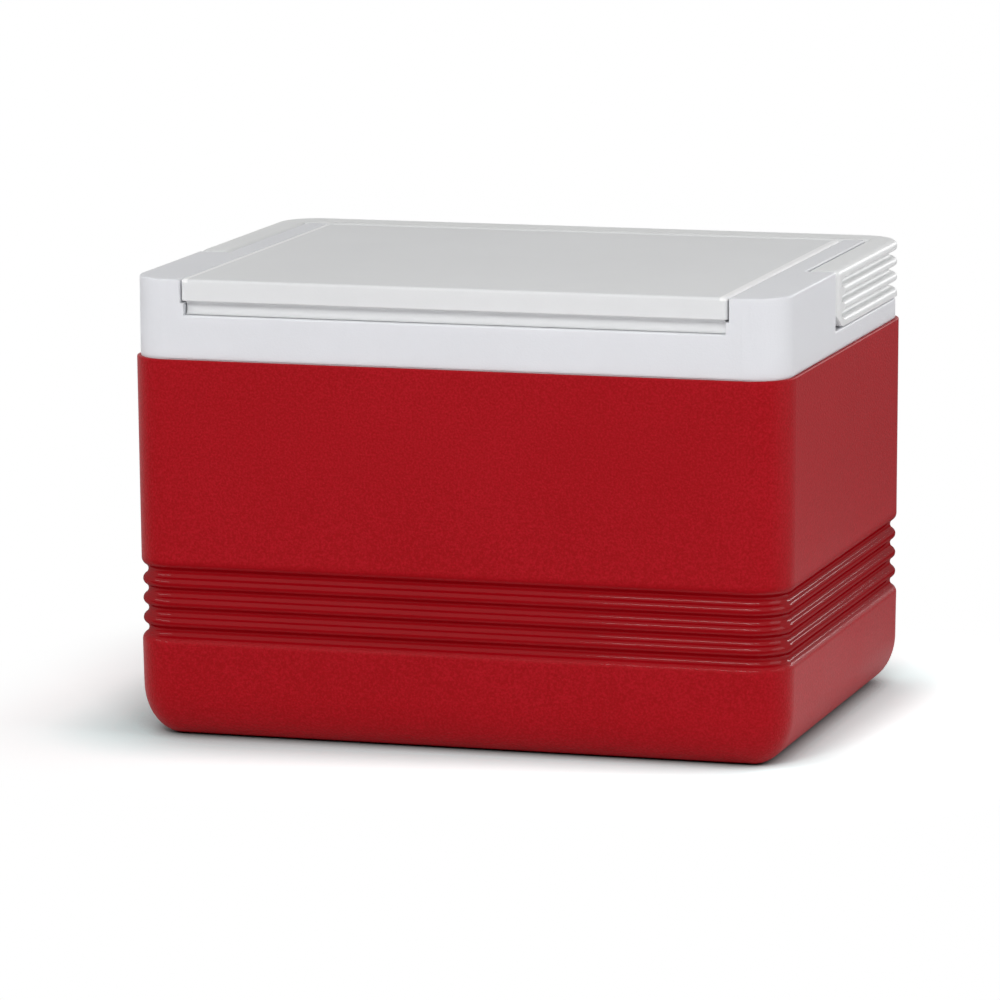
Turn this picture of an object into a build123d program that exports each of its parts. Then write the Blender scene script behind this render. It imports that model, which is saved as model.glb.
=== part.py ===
from build123d import *
from math import atan2, cos, sin, sqrt
import os

# A small hard-sided cooler box for cans: a foam-filled plastic tub with a ribbed waist, a pale rim
# collar, a lid hinged at the rear and a ribbed bail handle that lies round the rear half of the rim.
# Millimetres. The origin is the centre of the base, +Z is up, -Y is the front, +X is the right.

# ---------------------------------------------------------------- driving sizes
body_width = 337.0           # outer shell across its rim, left to right
body_depth = 253.5           # outer shell across its rim, front to back
overall_height = 231.6       # top of the lid and of the handle
head_height = 40.4           # collar, lid and handle above the shell's rim
body_corner = 21.0           # upright corners of the shell, at the rim
wall_draft = 0.0056          # how far a wall leans in for each mm below the rim
shell_wall = 2.4
rim_round = 0.6              # outer edge of the shell's rim

base_edge_height = 26.0      # the rounded bottom edge, measured up from the base
base_corner_flat = 0.5       # radius of the flat that this edge leaves under each corner
base_recess_depth = 1.5      # shallow panel that leaves a ring to stand on
base_recess_margin = 44.0
base_recess_corner = 14.0

# the ribbed waist: rounded grooves with rounded ribs between them
groove_count = 4
groove_pitch = 9.9
top_groove_z = 83.4          # centre line of the highest groove
groove_depth = 2.7           # below the rib crests
rib_radius = 2.9
shoulder_radius = 4.0        # the edges of the plain walls above and below the waist
rib_setback = 0.6            # rib crests lie this far inside the plain wall

# the rim collar
collar_setback = 1.6         # collar's face inside the shell's face
collar_corner = 20.5
collar_wall = 2.6
collar_edge_round = 1.0      # every edge of the collar that a hand can reach
joint_rise = 0.7             # groove round the joint between collar and shell
joint_depth = 0.5
corner_drop = 0.3            # front corner tops below the lid's top
cheek_width = 11.2           # upright flange between lid and handle
ledge_rise = 10.3            # ledge under the handle, above the shell's rim
spigot_depth = 8.0           # skirt of the collar inside the shell
spigot_clearance = 0.1

# the lid
lid_height = 17.9            # lid's edge, top to bottom
lid_wall = 2.4
lid_side_gap = 0.7           # lid to cheek
lid_seat_gap = 0.3           # lid's edge to the deck of the collar
lid_front_proud = 0.6       # lid's front face ahead of the collar's
lid_corner = 2.0             # upright corners of the lid
lid_edge_round = 1.5
hinge_round = 6.6            # rear edge of the lid, rolled about the hinge axis
knuckle_length = 15.0
saddle_drop = 4.0            # the collar's rear lip, hollowed for the rolled edge, below the hinge axis
pull_top = 6.7               # finger pull: its upper edge above the lid's lower edge
pull_depth = 5.0
pull_lower_setback = 3.4     # lower lip of the pull behind the front face
pull_edge_round = 0.8
skirt_step = 1.6             # the lid's sides step in below the pull's upper edge
jamb_depth = 12.0            # filling of that step at the front of the collar, front to back
jamb_gap = 1.0               # top of the filling to the lid above it
jamb_edge_round = 0.5

# the handle
handle_setback = 0.8         # handle's outer face inside the shell's face
handle_corner = 21.0
handle_bar = 20.0            # thickness of the bar behind the lid
handle_arm = 15.7            # thickness of the arms beside it
handle_gap = 1.0             # arm to cheek
bar_lid_gap = 1.3            # bar to the lid's rear edge
bar_deck_gap = 0.9           # bar to the step in the collar
ledge_gap = 1.2              # handle to the ledge below it
arm_nose = 12.5              # arm's front end ahead of the pivot
nose_lower_round = 12.0
nose_upper_round = 4.0
nose_side_round = 5.0
nose_inner_round = 3.0
pivot_y = -6.0
pivot_drop = 8.6             # pivot axis below the handle's top
shoulder_gap = 1.4           # arm's front end to the collar's shoulder
handle_edge_round = 3.0
grip_notches = 3
grip_top_notch_drop = 7.2    # highest notch below the handle's top
grip_low_notch_rise = 5.8    # lowest notch above the handle's underside
grip_notch_depth = 4.3
grip_rib_radius = 2.3
grip_start = 3.0             # the notches run at full depth from here, behind the pivot
grip_ramp = 6.0              # radius that the notches rise out on
handle_wall = 2.6
web_thickness = 2.4
web_pitch = 46.0
pivot_block = 12.0           # solid end of the arm behind the pivot

# pins
hinge_pin_radius = 2.5
hinge_pin_head = 3.6
hinge_pin_head_depth = 1.4
pivot_pin_radius = 4.0
pivot_collar_radius = 5.6
pivot_collar_length = 0.8
pivot_pin_reach = 11.0       # into the arm
pin_boss_wall = 2.1          # plastic round the pins inside the cheeks
running_clearance = 0.05
fixed_clearance = 0.02
bore_end_gap = 0.5

# the liner
liner_wall = 2.0
liner_floor = 24.0           # inside floor of the liner above the base
liner_corner = 22.0
liner_floor_round = 8.0
liner_draft = 0.35           # degrees
liner_flange = 2.6
opening_side_seat = 4.9      # the lid overlaps the opening by this at the sides
opening_front_wall = 20.5    # opening behind the shell's front face
opening_rear_seat = 3.5      # opening ahead of the hinge axis

# the lid's lower pan
plug_depth = 11.3            # pan below the lid's edge
plug_side_gap = 1.9
plug_front_gap = 3.2
plug_draft = 4.0             # degrees
pan_wall = 2.0
pan_fit = 0.1

# the plugs that close the foam filling holes
port_radius = 11.0
port_plug_flange = 2.5
port_plug_thickness = 1.4
lid_port_radius = 7.0

# ---------------------------------------------------------------- sizes that follow
half_width = body_width / 2
half_depth = body_depth / 2
rim_height = overall_height - head_height
lid_top_z = overall_height
lid_bottom_z = overall_height - lid_height
deck_z = lid_bottom_z - lid_seat_gap
corner_top_z = overall_height - corner_drop
ledge_z = rim_height + ledge_rise
arm_out = half_width - handle_setback
arm_in = arm_out - handle_arm
cheek_out = arm_in - handle_gap
cheek_in = cheek_out - cheek_width
lid_x = cheek_in - lid_side_gap
handle_rear = half_depth - handle_setback
bar_front = handle_rear - handle_bar
lid_rear = bar_front - bar_lid_gap
deck_rear = bar_front - bar_deck_gap
lid_front = -half_depth + collar_setback - lid_front_proud
hinge_y = lid_rear - hinge_round
hinge_z = lid_top_z - hinge_round
pivot_z = overall_height - pivot_drop
arm_front = pivot_y - arm_nose
shoulder_y = arm_front - shoulder_gap
handle_bottom = ledge_z + ledge_gap
top_notch_z = lid_top_z - grip_top_notch_drop
grip_pitch = (top_notch_z - handle_bottom - grip_low_notch_rise) / (grip_notches - 1)
opening_x = lid_x - opening_side_seat
opening_front = -half_depth + opening_front_wall
opening_rear = hinge_y - opening_rear_seat
opening_mid = (opening_front + opening_rear) / 2
collar_x = half_width - collar_setback
collar_y = half_depth - collar_setback
far = body_width             # long enough to cut right through anything here
touch = 0.001                # nearer than this is the same place


os.makedirs("parts", exist_ok=True)


# ---------------------------------------------------------------- helpers
def block(x0, x1, y0, y1, z0, z1):
    """A plain block between two corners."""
    return Pos((x0 + x1) / 2, (y0 + y1) / 2, (z0 + z1) / 2) * Box(x1 - x0, y1 - y0, z1 - z0)


def rounded_block(x0, x1, y0, y1, z0, z1, corner):
    """A block whose upright corners are rounded."""
    plan = Pos((x0 + x1) / 2, (y0 + y1) / 2, z0) * RectangleRounded(x1 - x0, y1 - y0, corner)
    return extrude(plan, z1 - z0, dir=(0, 0, 1))


def rod(radius, x0, x1, y, z):
    """A round bar along X."""
    return Pos((x0 + x1) / 2, y, z) * Rot(0, 90, 0) * Cylinder(radius, x1 - x0)


def both_sides(shape):
    """The shape and its mirror image on the other side of the box."""
    return [shape, mirror(shape, Plane.YZ)]


def edges_at(shape, z):
    """The edges that lie flat at one height."""
    return shape.edges().filter_by(lambda e: abs(e.bounding_box().min.Z - z) < touch
                                   and abs(e.bounding_box().max.Z - z) < touch)


def edges_on(shape, x, y):
    """The upright edges that stand at one place in plan, on both sides of the box."""
    return shape.edges().filter_by(Axis.Z).filter_by(
        lambda e: abs(abs(e.center().X) - x) < touch and abs(e.center().Y - y) < touch)


def save(shape, node):
    """Write one sub-part."""
    export_step(shape, "parts/" + node + ".step")


def hollow_radius(pitch, depth, crest_radius):
    """Radius of the hollows that run smoothly into crests of one radius, for a pitch and a depth."""
    return ((pitch / 2) ** 2 + depth ** 2) / (2 * depth) - crest_radius


def wave_arcs(crests, hollows, grow):
    """Arcs through alternate rounded crests and hollows, from the first crest to the last.

    Each is (x, z, radius), one hollow between two crests. Grow moves the whole line inwards.
    """
    arcs = []
    here = (crests[0][0] + crests[0][2] - grow, crests[0][1])
    for (cx, cz, cr), (hx, hz, hr), (nx, nz, nr) in zip(crests, hollows, crests[1:]):
        cr, hr, nr = cr - grow, hr + grow, nr - grow
        down = atan2(hz - cz, hx - cx)
        leave = (cx + cr * cos(down), cz + cr * sin(down))
        arcs.append(ThreePointArc(here, (cx + cr * cos(down / 2), cz + cr * sin(down / 2)), leave))
        up = atan2(nz - hz, nx - hx)
        enter = (hx + hr * cos(up), hz + hr * sin(up))
        arcs.append(ThreePointArc(leave, (hx - hr, hz), enter))
        back = atan2(hz - nz, hx - nx)
        here = (nx + nr, nz)
        arcs.append(ThreePointArc(enter, (nx + nr * cos(back / 2), nz + nr * sin(back / 2)), here))
    return arcs


def carried_round(profile, half_x, half_y, corner):
    """Carry a wall profile round a rounded rectangle and fill the middle.

    The profile is drawn in X and Z, with X measured out from the centre line of a corner.
    """
    run_x = half_x - corner
    run_y = half_y - corner
    low = profile.bounding_box().min.Z
    high = profile.bounding_box().max.Z
    side = Pos(run_x, run_y, 0) * extrude(profile, 2 * run_y, dir=(0, -1, 0))
    turned = Rot(0, 0, 90) * profile
    back = Pos(run_x, run_y, 0) * extrude(turned, 2 * run_x, dir=(-1, 0, 0))
    turn = Pos(run_x, run_y, 0) * revolve(profile, Axis.Z, 90)
    whole = block(-run_x, run_x, -run_y, run_y, low, high)
    whole += both_sides(side)
    whole += [back, mirror(back, Plane.XZ)]
    for quarter in both_sides(turn):
        whole += [quarter, mirror(quarter, Plane.XZ)]
    return whole


# ---------------------------------------------------------------- the outer shell
def wall_profile(grow):
    """Half section of the tub's wall from the base to the rim, moved inwards by grow."""
    band_mid = top_groove_z - (groove_count - 1) * groove_pitch / 2
    band_x = body_corner - wall_draft * (rim_height - band_mid)
    rib_x = band_x - rib_setback - rib_radius
    groove_radius = hollow_radius(groove_pitch, groove_depth, rib_radius)
    groove_x = rib_x + rib_radius - groove_depth + groove_radius
    hollows = [(groove_x, top_groove_z - i * groove_pitch, groove_radius) for i in range(groove_count)]
    ribs = [(rib_x, top_groove_z - (i + 0.5) * groove_pitch, rib_radius) for i in range(groove_count - 1)]

    upper_x = band_x - shoulder_radius
    rise = sqrt((shoulder_radius + groove_radius) ** 2 - (groove_x - upper_x) ** 2)
    upper = (upper_x, top_groove_z + rise, shoulder_radius)
    lower = (upper_x, hollows[-1][1] - rise, shoulder_radius)

    waist = wave_arcs([upper] + ribs + [lower], hollows, grow)
    foot_x = body_corner - wall_draft * rim_height
    foot = EllipticalCenterArc((base_corner_flat, base_edge_height), foot_x - base_corner_flat - grow,
                               base_edge_height - grow, start_angle=270, arc_size=90)
    wall_top = (body_corner - grow, rim_height)
    line = [Line((0, rim_height), wall_top),
            Line(wall_top, waist[0] @ 0),
            *waist,
            Line(waist[-1] @ 1, foot @ 1),
            foot,
            Line(foot @ 0, (0, grow)),
            Line((0, grow), (0, rim_height))]
    return Plane.XZ * make_face(line)


def tub_form(grow):
    return carried_round(wall_profile(grow), half_width, half_depth, body_corner)


shell_outside = tub_form(0)
shell_outside = fillet(edges_at(shell_outside, rim_height), rim_round)
shell_inside = tub_form(shell_wall)
recess = rounded_block(base_recess_margin - half_width, half_width - base_recess_margin,
                       base_recess_margin - half_depth, half_depth - base_recess_margin,
                       0, base_recess_depth, base_recess_corner)
raised_floor = rounded_block(base_recess_margin - shell_wall - half_width,
                             half_width - base_recess_margin + shell_wall,
                             base_recess_margin - shell_wall - half_depth,
                             half_depth - base_recess_margin + shell_wall,
                             shell_wall, shell_wall + base_recess_depth,
                             base_recess_corner + shell_wall)
shell_inside -= raised_floor
body_port = Cylinder(port_radius, 4 * shell_wall)
outer_shell = shell_outside - shell_inside - recess - body_port
save(outer_shell, "outer_shell")


# ---------------------------------------------------------------- the liner
def opening_face(grow, z):
    """The mouth of the liner, larger by grow all round, as a face at height z."""
    plan = RectangleRounded(2 * (opening_x + grow), opening_rear - opening_front + 2 * grow,
                            liner_corner + grow)
    return Pos(0, opening_mid, z) * plan


liner_top = deck_z - collar_wall


def liner_form(grow):
    """The liner's inside as a solid, or its outside when grow is its wall."""
    depth = liner_top - liner_floor + grow
    form = extrude(opening_face(grow, liner_top), depth, dir=(0, 0, -1), taper=liner_draft)
    return fillet(edges_at(form, liner_floor - grow), liner_floor_round + grow)


liner_outside = liner_form(liner_wall)
flange_rim = extrude(opening_face(liner_wall + liner_flange, liner_top), -liner_wall)
liner = (liner_outside + flange_rim) - liner_form(0)
save(liner, "liner")


# ---------------------------------------------------------------- the rim collar
def collar_form(grow):
    """The collar as a solid with its bays cut, or its hollow when grow is its wall."""
    plan = RectangleRounded(2 * (collar_x - grow), 2 * (collar_y - grow), collar_corner - grow)
    form = extrude(Pos(0, 0, rim_height) * plan, corner_top_z - rim_height - grow)
    lid_bay = block(-cheek_in - grow, cheek_in + grow, -far, deck_rear + grow, deck_z - grow, far)
    arm_bay = block(cheek_out - grow, far, shoulder_y - grow, far, ledge_z - grow, far)
    bar_bay = block(-far, far, deck_rear - grow, far, ledge_z - grow, far)
    form = form - lid_bay - both_sides(arm_bay) - bar_bay
    if grow:
        return form
    front_lip = edges_at(form, deck_z).filter_by(lambda e: abs(e.center().Y + collar_y) < touch)
    bay_mouth = edges_on(form, cheek_in, -collar_y)
    shoulder = edges_on(form, collar_x, shoulder_y)
    ledge = edges_at(form, ledge_z).filter_by(
        lambda e: abs(e.center().X) > cheek_out + touch and e.center().Y > shoulder_y + touch)
    rear_ledge = edges_at(form, ledge_z).filter_by(
        lambda e: abs(e.center().X) <= cheek_out + touch and e.center().Y > deck_rear + touch)
    return fillet(edges_at(form, corner_top_z) + front_lip + bay_mouth + shoulder + ledge + rear_ledge,
                  collar_edge_round)


def ring(outer_inset, corner, thickness, z0, z1):
    """A band that follows the shell's outline."""
    outer = RectangleRounded(body_width - 2 * outer_inset, body_depth - 2 * outer_inset, corner - outer_inset)
    inner_inset = outer_inset + thickness
    inner = RectangleRounded(body_width - 2 * inner_inset, body_depth - 2 * inner_inset,
                             corner - inner_inset)
    return extrude(Pos(0, 0, z0) * (outer - inner), z1 - z0)


collar_hollow = collar_form(collar_wall)
spigot_inset = shell_wall + spigot_clearance + wall_draft * spigot_depth
spigot = ring(spigot_inset, body_corner, collar_wall, rim_height - spigot_depth, rim_height + collar_wall)
mouth = extrude(opening_face(0, liner_top), 2 * collar_wall)
saddle = block(-cheek_in, cheek_in, hinge_y + lid_seat_gap, deck_rear, deck_z, hinge_z - saddle_drop)
saddle -= rod(hinge_round + lid_seat_gap, -far, far, hinge_y, hinge_z)
pivot_boss = rod(pivot_pin_radius + pin_boss_wall, cheek_in, cheek_out, pivot_y, pivot_z)
hinge_boss = rod(hinge_pin_radius + pin_boss_wall, cheek_in, cheek_out, hinge_y, hinge_z)
jamb = block(cheek_in - skirt_step, cheek_in + collar_edge_round, -collar_y, -collar_y + jamb_depth,
             deck_z - collar_edge_round, lid_bottom_z + pull_top - jamb_gap)
jamb = fillet(edges_on(jamb, cheek_in - skirt_step, -collar_y), jamb_edge_round)
rim_collar = collar_form(0) - collar_hollow + spigot + saddle - mouth
rim_collar += both_sides(jamb)
rim_collar += both_sides(pivot_boss) + both_sides(hinge_boss)
rim_collar -= ring(0, body_corner, collar_setback + joint_depth, rim_height, rim_height + joint_rise)

pivot_bore = rod(pivot_pin_radius + fixed_clearance, cheek_in - 1, arm_in, pivot_y, pivot_z)
hinge_bore = rod(hinge_pin_radius + fixed_clearance, 0, arm_in, hinge_y, hinge_z)
hinge_bore += rod(hinge_pin_head + fixed_clearance, cheek_out - hinge_pin_head_depth, arm_in,
                  hinge_y, hinge_z)
rim_collar -= both_sides(pivot_bore) + both_sides(hinge_bore)
save(rim_collar, "rim_collar")

# ---------------------------------------------------------------- pins
hinge_pin_end = lid_x - knuckle_length + bore_end_gap
hinge_pin = rod(hinge_pin_radius, hinge_pin_end, cheek_out, hinge_y, hinge_z)
hinge_pin += rod(hinge_pin_head, cheek_out - hinge_pin_head_depth, cheek_out, hinge_y, hinge_z)
pivot_pin = rod(pivot_pin_radius, cheek_in, arm_in + pivot_pin_reach, pivot_y, pivot_z)
pivot_pin += rod(pivot_collar_radius, cheek_out, cheek_out + pivot_collar_length, pivot_y, pivot_z)
for side, hinge, pivot in zip(("right", "left"), both_sides(hinge_pin), both_sides(pivot_pin)):
    save(hinge, "lid_hinge_pin_" + side)
    save(pivot, "handle_pivot_pin_" + side)

# ---------------------------------------------------------------- foam in the body
body_foam = shell_inside + collar_hollow - liner_outside - flange_rim - rim_collar
body_foam -= both_sides(pivot_bore) + both_sides(hinge_bore)
body_foam = body_foam.solids().sort_by(SortBy.VOLUME)[-1]  # the pockets behind the hinge bosses stay empty
save(body_foam, "body_foam")


# ---------------------------------------------------------------- the lid
def lid_form(grow, z_low):
    """The lid as a solid, or its hollow when grow is its wall, cut off flat at z_low."""
    front = lid_front + grow
    top = lid_top_z - grow
    roll = hinge_round - grow
    roll_low = hinge_z - roll
    rear = hinge_y - grow
    lip = (front + pull_lower_setback, lid_bottom_z - grow)
    brow = (front, lid_bottom_z + pull_top + grow)
    pull = ThreePointArc(lip, (front + pull_depth, lid_bottom_z + pull_top / 2), brow)
    roll_arc = ThreePointArc((hinge_y, top), (hinge_y + roll, hinge_z), (hinge_y, roll_low))
    line = [Line(brow, (front, top)),
            Line((front, top), (hinge_y, top)),
            roll_arc,
            Line((hinge_y, roll_low), (rear, roll_low)) if grow else None,
            Line((rear, roll_low), (rear, lip[1])),
            Line((rear, lip[1]), lip),
            pull]
    section = Plane.YZ * make_face([edge for edge in line if edge])
    reach = lid_x - grow
    form = Pos(-reach, 0, 0) * extrude(section, 2 * reach, dir=(1, 0, 0))
    step = block(reach - skirt_step, far, -far, far, 0, lid_bottom_z + pull_top + grow)
    return form - both_sides(step) - block(-far, far, -far, far, 0, z_low)


lid_outside = lid_form(0, lid_bottom_z)
lid_outside = fillet(edges_on(lid_outside, lid_x, lid_front), lid_corner)
lid_outside = fillet(edges_at(lid_outside, lid_top_z).filter_by(lambda e: e.center().Y < hinge_y - touch),
                     lid_edge_round)
brow = edges_at(lid_outside, lid_bottom_z + pull_top).filter_by(
    lambda e: abs(e.center().Y - lid_front) < touch)
lid_outside = fillet(brow, pull_edge_round)
lid_inside = lid_form(lid_wall, lid_bottom_z - lid_wall)
knuckle = block(lid_x - knuckle_length, far, hinge_y - hinge_round - lid_wall, far,
                hinge_z - hinge_round, far) & lid_outside
lid_bore = rod(hinge_pin_radius + running_clearance, lid_x - knuckle_length, far, hinge_y, hinge_z)
lid_top = lid_outside - lid_inside + both_sides(knuckle)
lid_top -= both_sides(lid_bore)
save(lid_top, "lid_top")

pan_x = lid_x - skirt_step - lid_wall - pan_fit
pan_front = lid_front + pull_depth + lid_wall + pan_fit
pan_rear = hinge_y - lid_wall - pan_fit
pan_rim = rounded_block(-pan_x, pan_x, pan_front, pan_rear, lid_bottom_z, lid_bottom_z + pan_wall, lid_corner)


def pan_form(grow):
    """The plug of the lid's pan as a solid, or its hollow when grow is its wall."""
    x = opening_x - plug_side_gap - grow
    front = opening_front + plug_front_gap + grow
    rear = opening_rear - plug_side_gap - grow
    plan = Pos(0, (front + rear) / 2, lid_bottom_z + pan_wall) * RectangleRounded(
        2 * x, rear - front, liner_corner - grow)
    return extrude(plan, plug_depth + pan_wall - grow, dir=(0, 0, -1), taper=plug_draft)


pan_low = lid_bottom_z - plug_depth
lid_port = Pos(0, opening_mid, pan_low) * Cylinder(lid_port_radius, 4 * pan_wall)
lid_liner = pan_rim + pan_form(0) - pan_form(pan_wall) - lid_port
save(lid_liner, "lid_liner")

lid_foam = lid_form(lid_wall, lid_bottom_z + pan_wall) + pan_form(pan_wall) - lid_top - both_sides(lid_bore)
save(lid_foam, "lid_foam")


# ---------------------------------------------------------------- plugs for the foam filling holes
def port_plug(radius, wall, z, y):
    """A push-in plug: a cap below the wall at height z and a stem through it."""
    cap = Pos(0, y, z - port_plug_thickness / 2) * Cylinder(radius + port_plug_flange, port_plug_thickness)
    stem = Pos(0, y, z + wall / 2) * Cylinder(radius - fixed_clearance, wall)
    return cap + stem


save(port_plug(port_radius, shell_wall, base_recess_depth, 0), "body_foam_plug")
save(port_plug(lid_port_radius, pan_wall, pan_low, opening_mid), "lid_foam_plug")


# ---------------------------------------------------------------- the bail handle
def bail_plan(outer, inner, front):
    """A U in plan, open to the front, inset from the handle's outer and inner faces."""
    plan = RectangleRounded(2 * (arm_out - outer), 2 * (handle_rear - outer), handle_corner - outer)
    middle = Pos(0, bar_front + inner - far / 2) * Rectangle(2 * (arm_in + inner), far)
    ahead = Pos(0, front - far / 2) * Rectangle(2 * far, far)
    return plan - middle - ahead


def grip_wave():
    """Section of the notches in X and Z, X measured out from the handle's outer face."""
    notch_radius = hollow_radius(grip_pitch, grip_notch_depth, grip_rib_radius)
    crests = [(-grip_rib_radius, top_notch_z + (0.5 - i) * grip_pitch, grip_rib_radius)
              for i in range(grip_notches + 1)]
    hollows = [(notch_radius - grip_notch_depth, top_notch_z - i * grip_pitch, notch_radius)
               for i in range(grip_notches)]
    top_z = crests[0][1]
    low_z = crests[-1][1]
    return wave_arcs(crests, hollows, 0) + [Line((0, low_z), (1, low_z)), Line((1, low_z), (1, top_z)),
                                            Line((1, top_z), (0, top_z))]


def nose_trim():
    """What the handle keeps, seen from the side, once the front ends of its arms are rounded."""
    lower = nose_lower_round
    upper = nose_upper_round
    line = Polyline((arm_front + lower, handle_bottom), (far, handle_bottom), (far, lid_top_z),
                    (arm_front + upper, lid_top_z))
    brow = RadiusArc(line @ 1, (arm_front, lid_top_z - upper), -upper)
    drop = Line(brow @ 1, (arm_front, handle_bottom + lower))
    chin = RadiusArc(drop @ 1, (arm_front + lower, handle_bottom), -lower)
    side = Plane.YZ * make_face([line, brow, drop, chin])
    return Pos(-far, 0, 0) * extrude(side, 2 * far, dir=(1, 0, 0))


def notch_tool():
    """The grip notches as a solid, round three sides, rising out of the face at their front ends."""
    face = Plane.XZ * make_face(grip_wave())
    corner_x = arm_out - handle_corner
    corner_y = handle_rear - handle_corner
    start = pivot_y + grip_start
    side = Pos(arm_out, start, 0) * extrude(face, corner_y - start, dir=(0, 1, 0))
    side += Pos(arm_out + grip_ramp, start, 0) * revolve(Pos(-grip_ramp, 0, 0) * face, Axis.Z, 90)
    side += Pos(corner_x, corner_y, 0) * revolve(Pos(handle_corner, 0, 0) * face, Axis.Z, 90)
    rear = Pos(-corner_x, handle_rear, 0) * extrude(Rot(0, 0, 90) * face, 2 * corner_x, dir=(1, 0, 0))
    return rear + both_sides(side)


def bail_core():
    """The hollow under the handle, crossed by thin webs."""
    top = lid_top_z - handle_wall
    front = pivot_y + pivot_block
    plan = bail_plan(grip_notch_depth + handle_wall, handle_wall, front)
    core = extrude(Pos(0, 0, handle_bottom) * plan, top - handle_bottom)
    half_web = web_thickness / 2
    across = int(arm_in / web_pitch)
    for i in range(-across, across + 1):
        x = i * web_pitch
        core -= block(x - half_web, x + half_web, bar_front, far, handle_bottom, far)
    along = int((bar_front - front) / web_pitch)
    for i in range(along):
        y = bar_front - i * web_pitch
        core -= block(-far, far, y - half_web, y + half_web, handle_bottom, far)
    return core


bail = extrude(Pos(0, 0, handle_bottom) * bail_plan(0, 0, arm_front), lid_top_z - handle_bottom)
bail = fillet(edges_on(bail, arm_out, arm_front), nose_side_round)
bail = fillet(edges_on(bail, arm_in, arm_front), nose_inner_round)
bail = fillet(edges_at(bail, lid_top_z), handle_edge_round)
bail = bail & nose_trim()
bail -= notch_tool()
arm_bore = rod(pivot_pin_radius + running_clearance, arm_in - 1, arm_in + pivot_pin_reach + bore_end_gap,
               pivot_y, pivot_z)
bail_handle = bail - bail_core() - both_sides(arm_bore)
save(bail_handle, "bail_handle")
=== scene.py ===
# %% [markdown]
# # A small cooler box for cans
#
# The real object is a foam-filled plastic box: a red tub with a pebbled skin and a ribbed waist, a cool
# white collar round its rim, and a warmer white lid and bail handle. Its parts were drawn in CAD and
# arrive as fixed meshes that already have every rib, groove and rounding. So nothing is modelled here
# but the table: the script gives the parts their finishes and sets up the camera and the lamps.

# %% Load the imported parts
import math

import bmesh
import bpy
from mathutils import Matrix, Vector


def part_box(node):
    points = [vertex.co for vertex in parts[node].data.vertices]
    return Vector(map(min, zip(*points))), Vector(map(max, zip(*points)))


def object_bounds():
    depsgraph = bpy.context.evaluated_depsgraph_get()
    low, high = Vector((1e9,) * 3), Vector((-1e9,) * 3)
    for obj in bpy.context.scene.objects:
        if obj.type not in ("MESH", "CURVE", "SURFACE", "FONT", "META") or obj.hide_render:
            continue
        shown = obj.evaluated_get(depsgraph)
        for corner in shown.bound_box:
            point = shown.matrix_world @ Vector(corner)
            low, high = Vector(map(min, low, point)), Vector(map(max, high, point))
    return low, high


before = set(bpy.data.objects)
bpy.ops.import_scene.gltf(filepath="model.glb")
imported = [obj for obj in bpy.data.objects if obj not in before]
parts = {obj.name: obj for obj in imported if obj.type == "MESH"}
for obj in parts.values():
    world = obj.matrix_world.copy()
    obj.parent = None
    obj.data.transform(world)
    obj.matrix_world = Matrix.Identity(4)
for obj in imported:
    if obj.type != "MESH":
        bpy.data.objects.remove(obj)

cad_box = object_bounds()
print("parts:", len(parts), "box in mm:", [round(1000 * side, 1) for side in cad_box[1] - cad_box[0]])

# %% [markdown]
# ## Camera
#
# A long lens from about three metres keeps the upright edges nearly parallel, as a catalogue likes them.
# A camera could be aimed with a Track To constraint, but a matrix built from the line of sight also takes
# the slight roll and leaves nothing live in the scene. A camera looks along its own -Z, with +Y up.

# %% Place the camera
camera_place = Vector((0.9135, -3.0424, 0.6427))
camera_target = Vector((-0.01246, -0.0038, 0.1067))
camera_roll = math.radians(-0.36)
camera_lens = 228.2
camera_sensor = 36.0
camera_far_limit = 60.0


def make_camera():
    data = bpy.data.cameras.new("product_camera")
    data.lens = camera_lens
    data.sensor_width = camera_sensor
    data.clip_end = camera_far_limit
    camera = bpy.data.objects.new("product_camera", data)
    bpy.context.scene.collection.objects.link(camera)
    look = (camera_target - camera_place).to_track_quat("-Z", "Y").to_matrix().to_4x4()
    roll = Matrix.Rotation(camera_roll, 4, "Z")
    camera.matrix_world = Matrix.Translation(camera_place) @ look @ roll
    bpy.context.scene.camera = camera


make_camera()
print("camera is", round((camera_place - camera_target).length, 2), "m from the box")

# %% [markdown]
# ## Writing materials as sums
#
# A shader is a graph of nodes. Linking them by hand hides the idea behind a long list of sockets, so a
# small class wraps one output socket, and ordinary arithmetic on it adds the Math nodes.


# %% A wrapped socket
class Wire:
    """One output socket of a shader node. Arithmetic on it adds Math nodes."""

    def __init__(self, graph, socket):
        self.graph = graph
        self.socket = socket

    def math(self, operation, *values):
        return self.graph.node("ShaderNodeMath", {"operation": operation}, dict(enumerate(values)))

    def __add__(self, other):
        return self.math("ADD", self, other)

    def __sub__(self, other):
        return self.math("SUBTRACT", self, other)

    def __rsub__(self, other):
        return self.math("SUBTRACT", other, self)

    def __mul__(self, other):
        return self.math("MULTIPLY", self, other)

    def __abs__(self):
        return self.math("ABSOLUTE", self)

    __radd__ = __add__
    __rmul__ = __mul__


# %% [markdown]
# Every other kind of node comes from one method, which sets the node's options first and its inputs
# second. The same graph serves a material and the world, so what both need is kept in one class. A Math
# node would turn a colour or a position into one number, so those go through Mix and Vector Math nodes.


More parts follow.
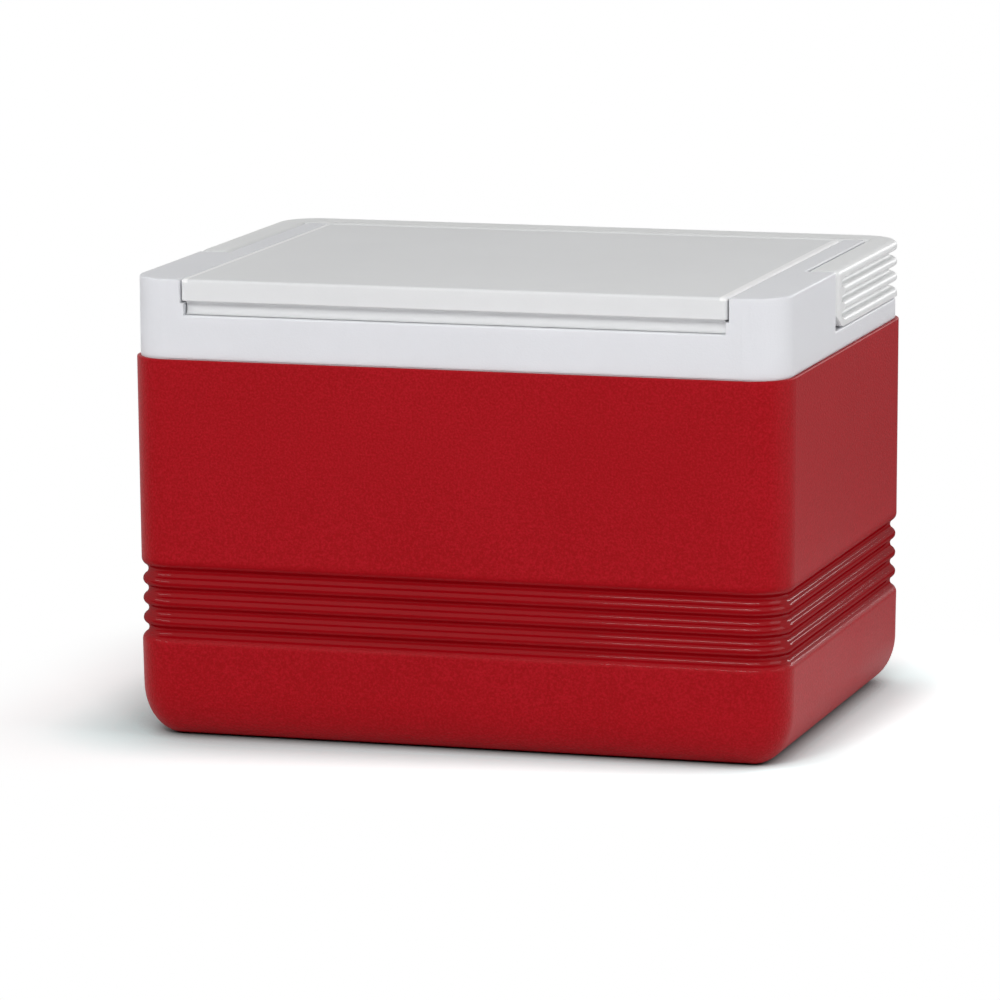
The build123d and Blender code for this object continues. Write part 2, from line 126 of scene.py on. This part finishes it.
# %% A graph of nodes
class Graph:
    """A tree of shader nodes under construction."""

    def __init__(self, tree):
        self.tree = tree
        self.tree.nodes.clear()

    def node(self, kind, settings=None, inputs=None, output=0):
        """Add a node. A key of inputs or the output is a socket's name or number."""
        made = self.tree.nodes.new(kind)
        for name, value in (settings or {}).items():
            setattr(made, name, value)
        for name, value in (inputs or {}).items():
            if isinstance(value, Wire):
                self.tree.links.new(value.socket, made.inputs[name])
            else:
                made.inputs[name].default_value = value
        return Wire(self, made.outputs[output])

    def mix(self, share, first, second):
        """A colour between two colours."""
        return self.node("ShaderNodeMix", {"data_type": "RGBA"}, {0: share, 6: first, 7: second}, 2)

    def vector(self, operation, *values, output=0):
        """Maths on positions."""
        return self.node("ShaderNodeVectorMath", {"operation": operation}, dict(enumerate(values)), output)

    def between(self, value, low, high, low_out=0.0, high_out=1.0):
        """A smooth step: low_out below low, high_out above high."""
        return self.node("ShaderNodeMapRange", {"interpolation_type": "SMOOTHSTEP"},
                         {"Value": value, "From Min": low, "From Max": high,
                          "To Min": low_out, "To Max": high_out})

    def ray(self, kind):
        """1 for a ray of this kind, 0 for any other."""
        return self.node("ShaderNodeLightPath", output=f"Is {kind} Ray")

    def seen(self):
        """1 for rays that show a surface to the camera, straight or by way of gloss or glass."""
        return self.ray("Camera") + self.ray("Glossy") + self.ray("Transmission")

    def show(self, surface, kind):
        """Send the finished surface to an output node of this kind."""
        made = self.tree.nodes.new(kind)
        self.tree.links.new(surface.socket, made.inputs["Surface"])


# %% [markdown]
# A material adds what only surfaces have: a place on the part, patterns, grain and plastic. The patterns
# read the parts' own coordinates, which are metres, so a size given here is a size on the real object and
# the pattern stays on a part that turns.


# %% A material under construction
class Finish(Graph):
    """A material under construction."""

    def __init__(self, name):
        self.material = bpy.data.materials.new(name)
        self.material.use_nodes = True
        super().__init__(self.material.node_tree)
        self.place = self.node("ShaderNodeTexCoord", output="Object")

    def along(self, axis):
        """One coordinate of the shaded point, in metres."""
        return self.node("ShaderNodeSeparateXYZ", {}, {0: self.place}, axis)

    def noise(self, size, detail=2.0):
        """Soft random patches about size metres across, as a value round one half."""
        return self.node("ShaderNodeTexNoise", {}, {"Vector": self.place, "Scale": 1.0 / size,
                                                    "Detail": detail, "Roughness": 0.55})

    def bump(self, height, depth):
        """A normal from a height between 0 and 1 that stands for depth metres."""
        return self.node("ShaderNodeBump", {}, {"Height": height, "Distance": depth, "Strength": 1.0})

    def plastic(self, colour, roughness, **more):
        """One plastic. Underscores in a keyword stand for the spaces in a socket's name."""
        inputs = {"Base Color": colour, "Roughness": roughness}
        inputs.update({name.replace("_", " "): value for name, value in more.items()})
        return self.node("ShaderNodeBsdfPrincipled", {}, inputs)

    def close(self, surface):
        """The finished material."""
        self.show(surface, "ShaderNodeOutputMaterial")
        return self.material


# %% [markdown]
# Blender adds up light in linear values, in which a middle grey is about 0.2. A paint chart's numbers
# are easier to think in, so colours are written as those and turned into linear values here.


# %% Colours
def srgb(red, green, blue):
    """A colour as a paint chart gives it, 0 to 255, turned into the linear values that light adds up in."""
    def linear(level):
        level = level / 255
        return level / 12.92 if level <= 0.04045 else ((level + 0.055) / 1.055) ** 2.4
    return (linear(red), linear(green), linear(blue), 1.0)


print("a middle grey of 128 is", round(srgb(128, 128, 128)[0], 3), "in linear light")

# %% [markdown]
# ## Pebble grain
#
# The mould's steel is etched so that the plastic comes out pebbled, which hides scratches. Modelling
# each pebble would take millions of faces, so the grain is a bump: rounded cells with a finer noise
# over them.

# %% Grain as a height
cell_share = 0.7
cell_softness = 0.6
fine_size = 0.55


def pebbles(finish, size):
    """Rounded pebbles about size metres across, as a height between 0 and 1."""
    cells = finish.node("ShaderNodeTexVoronoi", {"feature": "SMOOTH_F1"},
                        {"Vector": finish.place, "Scale": 1.0 / size, "Smoothness": cell_softness},
                        "Distance")
    fine = finish.noise(size * fine_size, detail=1.0)
    return (1.0 - cells) * cell_share + fine * (1.0 - cell_share)


print("pebbles: cells give", cell_share, "of the height")

# %% [markdown]
# ## The red tub
#
# The walls are pebbled, and pale when seen edge on, but the ribs of the waist were polished in the
# mould: they stay a deep red and show the lamps as thin lines. The difference could be two materials on
# two sets of faces. A mask on height mixes two surfaces in one material instead, so the tub stays one
# moulding: outside the waist the grain and a soft gloss, inside it a smooth clear coat.

# %% Waist of the tub
waist_low = 0.0500
waist_high = 0.0890
waist_blend = 0.0025


def waist_mask(finish):
    """1 on the ribs of the waist, 0 on the walls above and below."""
    height = finish.along("Z")
    above = finish.between(height, waist_low - waist_blend, waist_low + waist_blend)
    below = finish.between(height, waist_high - waist_blend, waist_high + waist_blend, 1.0, 0.0)
    return above * below


print("waist:", round(1000 * (waist_high - waist_low), 1), "mm high")

# %% [markdown]
# Moulded red plastic is not one red. Its pigment shows as specks about as large as the pebbles, and the
# melt leaves wide, faint drifts. The walls mix a deep and a bright red by both, mostly by the specks.

# %% Red polyethylene
tub_grain_size = 0.0011
tub_grain_depth = 0.00016
speck_share = 0.85


def tub_walls(finish, drift):
    speck = finish.noise(tub_grain_size, detail=1.0)
    pigment = drift * (1.0 - speck_share) + speck * speck_share
    colour = finish.mix(finish.between(pigment, 0.35, 0.72), srgb(151, 7, 15), srgb(169, 15, 28))
    normal = finish.bump(pebbles(finish, tub_grain_size), tub_grain_depth)
    return finish.plastic(colour, 0.46 + (drift - 0.5) * 0.10, Normal=normal, Specular_IOR_Level=0.11)


def tub_ribs(finish, drift):
    colour = finish.mix(drift, srgb(134, 4, 11), srgb(148, 8, 18))
    return finish.plastic(colour, 0.3, Specular_IOR_Level=0.0, Coat_Weight=0.09, Coat_IOR=2.2,
                          Coat_Roughness=0.05)


def red_tub():
    finish = Finish("red_tub_plastic")
    drift = finish.noise(0.09, detail=3.0)
    surfaces = {0: waist_mask(finish), 1: tub_walls(finish, drift), 2: tub_ribs(finish, drift)}
    return finish.close(finish.node("ShaderNodeMixShader", {}, surfaces))


finishes = {"shell_red": red_tub()}
print("red tub:", len(finishes["shell_red"].node_tree.nodes), "nodes")

# %% [markdown]
# ## The white parts
#
# The collar is a cool white and the lid and handle a slightly warmer one, because they come from
# different mouldings. Both have a fine satin grain that shows only where light grazes the surface. Some
# light goes a few millimetres into white plastic and comes out again, which softens its edges, so half
# the surface is subsurface scattering. Along the lid's upper side edges, a painted highlight (a paler line
# in the colour) stands for the light that their rounding catches.

# %% Satin whites
# how far the painted highlight along the upper side edges reaches in from the side and down from the top
highlight_in_from_side = (0.0042, 0.0028)
highlight_down_from_top = (0.0022, 0.0012)


def painted_highlight_edges(finish, part):
    """Where the painted highlight goes: 1 along the two upper side edges of a part, 0 elsewhere."""
    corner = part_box(part)[1]
    side, top = corner[0], corner[2]
    outer = finish.between(abs(finish.along("X")), side - highlight_in_from_side[0], side - highlight_in_from_side[1])
    upper = finish.between(finish.along("Z"), top - highlight_down_from_top[0], top - highlight_down_from_top[1])
    return outer * upper


def satin_white(name, colour, drifted, grain_size, grain_depth, roughness, highlight_part=None):
    """Satin plastic that drifts between two whites. The last argument names a part whose upper side edges
    get a painted highlight, a paler line in the colour.
    """
    finish = Finish(name)
    drift = finish.noise(0.12, detail=3.0)
    tint = finish.mix(finish.between(drift, 0.3, 0.7), colour, drifted)
    if highlight_part:
        # painted highlight: the upper side edges are written near pure white, standing for light on their
        # rounding
        tint = finish.mix(painted_highlight_edges(finish, highlight_part), tint, srgb(252, 252, 252))
    normal = finish.bump(pebbles(finish, grain_size), grain_depth)
    return finish.close(finish.plastic(tint, roughness + (drift - 0.5) * 0.08, Normal=normal,
                                       Specular_IOR_Level=0.15, Subsurface_Weight=0.5,
                                       Subsurface_Radius=(1.0, 1.0, 1.0), Subsurface_Scale=0.004))


finishes["collar_white"] = satin_white("collar_plastic", srgb(225, 226, 230), srgb(223, 224, 228),
                                       0.0009, 0.00006, 0.42)
finishes["lid_cream"] = satin_white("lid_plastic", srgb(226, 227, 228), srgb(224, 225, 226),
                                    0.0009, 0.00006, 0.42, highlight_part="lid_top")
finishes["handle_cream"] = satin_white("handle_plastic", srgb(228, 229, 229), srgb(226, 227, 227),
                                       0.0010, 0.00005, 0.38)
print("whites for the collar, the lid and the handle")

# %% [markdown]
# ## Liner, pins, plugs and foam
#
# The liner is a smoother white that wipes clean. The hinge and pivot pins are natural nylon, which is a
# little yellow, and the plugs close the holes through which the foam was poured. They could share one
# white, but on a real box each is its own batch of plastic. The foam is cream and matt, with fine cells.

# %% Smaller finishes
finishes["liner_white"] = satin_white("liner_plastic", srgb(232, 233, 234), srgb(229, 230, 232),
                                      0.0012, 0.00004, 0.32)
finishes["pin_nylon"] = satin_white("pin_plastic", srgb(226, 225, 220), srgb(222, 221, 215),
                                    0.0006, 0.00003, 0.35)
finishes["plug_white"] = satin_white("plug_plastic", srgb(224, 225, 226), srgb(220, 221, 223),
                                     0.0008, 0.00003, 0.40)
foam_cells_per_metre = 1400.0


def foam():
    finish = Finish("cream_foam")
    cells = finish.node("ShaderNodeTexVoronoi", {},
                        {"Vector": finish.place, "Scale": foam_cells_per_metre}, "Distance")
    patches = finish.between(finish.noise(0.02), 0.3, 0.7)
    colour = finish.mix(patches, srgb(238, 226, 190), srgb(226, 208, 164))
    return finish.close(finish.plastic(colour, 0.9, Normal=finish.bump(cells, 0.0003)))


finishes["foam"] = foam()
print("finishes:", sorted(finishes))

# %% [markdown]
# Each part arrives with one material slot, which has the name of a finish. Assigning to the slot changes
# the look of the part and leaves its mesh alone.

# %% Put the finishes on the parts
for part in parts.values():
    part.data.materials[0] = finishes[part.data.materials[0].name]
print("finished parts:", len(parts))

# %% [markdown]
# ## Table
#
# The box stands on a white sweep of paper with no edge in view. A lit white surface is never quite
# white, and a sheet that is simply bright would lose the box's shadow. So near the box the paper is a
# plain matt surface that takes the shadow, written brighter for the camera and for mirror-like rays,
# and further out it hands over to an even white. The brightness follows the distance from the box's foot.

# %% Distance from the foot
half_box = (cad_box[1] - cad_box[0]) / 2
foot_inset = 0.03


def from_foot(finish):
    """The distance from the box's foot, in metres, with the corners rounded."""
    inside = finish.vector("ABSOLUTE", finish.place)
    beyond = finish.vector("SUBTRACT", inside, (half_box.x - foot_inset, half_box.y - foot_inset, 10.0))
    return finish.vector("LENGTH", finish.vector("MAXIMUM", beyond, (0.0, 0.0, 0.0)), output="Value")


print("foot in mm:", [round(2000 * (side - foot_inset)) for side in half_box.xy])

# %% [markdown]
# A real sweep is lit at the box's sides and dim towards the lens and far behind, and the glossy walls
# show that. An even white would lay a veil over the red, so mirror-like rays see the paper dimmed by
# its place.


# %% Paper as the glossy walls see it
def mirror_level(finish):
    """How bright a mirror-like ray finds the paper: dim towards the lens, and far behind on the right."""
    depth = finish.along("Y")
    front = finish.between(depth, -half_box.y - 0.10, -half_box.y + 0.02, 0.10, 1.0)
    behind = finish.between(depth, 0.0, 0.7, 1.0, 0.22)
    left = finish.between(finish.along("X"), -0.30, -0.12, 1.0, 0.0)
    return front * (behind + (1.0 - behind) * left)


# %% [markdown]
# Creases under the box gather shade, which an ambient occlusion node adds. The tub throws red light on
# the paper round its foot, so there the paper is written with less red. The lamps leave the right side
# darker, so the paper is written brighter from left to right.

# %% White paper
white = (1.0, 1.0, 1.0, 1.0)
paper_colour = (0.90, 0.90, 0.91, 1.0)
foot_tint = (0.84, 1.0, 1.0, 1.0)
crease_reach = 0.06
shadow_start = 0.04
shadow_reach = 0.16


def white_table():
    finish = Finish("white_table")
    away = from_foot(finish)
    seen = finish.seen()
    level = 1.0 - finish.ray("Glossy") * (1.0 - mirror_level(finish))
    shade = finish.node("ShaderNodeAmbientOcclusion", {"samples": 8}, {"Distance": crease_reach}, "AO")
    tint = finish.mix(finish.between(away, 0.03, 0.12), foot_tint, white)
    across = finish.between(finish.along("X"), -0.25, 0.25, 1.45, 2.45)
    bright = finish.node("ShaderNodeVectorMath", {"operation": "SCALE"},
                         {0: tint, "Scale": shade * level * across})
    paper = finish.node("ShaderNodeBsdfDiffuse", {}, {"Color": finish.mix(seen, paper_colour, bright)})
    even = finish.node("ShaderNodeEmission", {}, {"Color": white, "Strength": level})
    handed = seen * finish.between(away, shadow_start, shadow_reach)
    return finish.close(finish.node("ShaderNodeMixShader", {}, {0: handed, 1: paper, 2: even}))


print("the shadow reaches", round(1000 * (shadow_reach - foot_inset)), "mm from the box")

# %% [markdown]
# One square face carries the paper. It lies a tenth of a millimetre under the box, so that the two never
# share a plane and flicker.

# %% Table
table_size = 40.0
table_gap = 0.0001


def make_table():
    grid = bmesh.new()
    bmesh.ops.create_grid(grid, x_segments=1, y_segments=1, size=table_size / 2)
    bmesh.ops.translate(grid, verts=grid.verts, vec=(0.0, 0.0, cad_box[0].z - table_gap))
    mesh = bpy.data.meshes.new("table_floor")
    grid.to_mesh(mesh)
    grid.free()
    table = bpy.data.objects.new("table_floor", mesh)
    bpy.context.scene.collection.objects.link(table)
    mesh.materials.append(white_table())


make_table()
print("table:", table_size, "m square")

# %% [markdown]
# ## Room
#
# Behind the table is a plain white room. At the strength that looks white it would also flood the box
# with light from all sides and flatten its shapes. So only the camera and mirror-like rays see it white,
# and as a light it stays dim: it fills the shadows and leaves the shaping to the lamps.

# %% Room light
room_light = 0.225


def make_room():
    world = bpy.data.worlds.new("white_room")
    bpy.context.scene.world = world
    world.use_nodes = True
    graph = Graph(world.node_tree)
    level = graph.between(graph.seen(), 0.0, 1.0, room_light, 1.0)
    sky = graph.node("ShaderNodeBackground", {}, {"Color": white, "Strength": level})
    graph.show(sky, "ShaderNodeOutputWorld")


make_room()
print("room light:", room_light)

# %% [markdown]
# ## Lamps
#
# A point lamp gives hard shadows, and a sun lights every side of the room alike. Soft boxes are what a
# product studio uses: their size sets how soft a shadow is and how wide a shine. A wide one over the
# lens lights the front, a small bright one draws the thin lines on the front ribs, one on the left opens
# the shadow there, and a strip behind on the right lays the shine along the side wall and its ribs. A
# small one near the right side and a large weak one above lift the collar and the handle.


# %% Soft boxes
def soft_box(name, azimuth, elevation, distance, width, height, power):
    """A lamp aimed at the middle of the box. Azimuth 0 is in front and 90 is on the right."""
    data = bpy.data.lights.new(name, "AREA")
    data.shape = "RECTANGLE"
    data.size = width
    data.size_y = height
    data.energy = power
    lamp = bpy.data.objects.new(name, data)
    bpy.context.scene.collection.objects.link(lamp)
    turn, rise = math.radians(azimuth), math.radians(elevation)
    away = Vector((math.sin(turn) * math.cos(rise), -math.cos(turn) * math.cos(rise), math.sin(rise)))
    place = (cad_box[0] + cad_box[1]) / 2 + away * distance
    lamp.matrix_world = Matrix.Translation(place) @ away.to_track_quat("Z", "Y").to_matrix().to_4x4()
    print(name, "is", distance, "m away")


soft_box("front_soft_box", 9, 32, 3.0, 2.4, 0.4, 36)
soft_box("front_core", -5, 36, 3.0, 0.55, 0.22, 9)
soft_box("left_soft_box", -52, 25, 3.0, 2.2, 0.5, 18)
soft_box("right_strip", 156, 14, 3.0, 0.9, 0.4, 15)
soft_box("right_soft_box", 86, 18, 1.0, 0.7, 0.5, 2.5)
soft_box("top_soft_box", 50, 58, 3.0, 2.0, 2.0, 1.5)

# %% [markdown]
# ## Display settings
#
# The Standard view shows a colour about as it is written.

# %% Display settings
bpy.context.scene.view_settings.view_transform = "Standard"
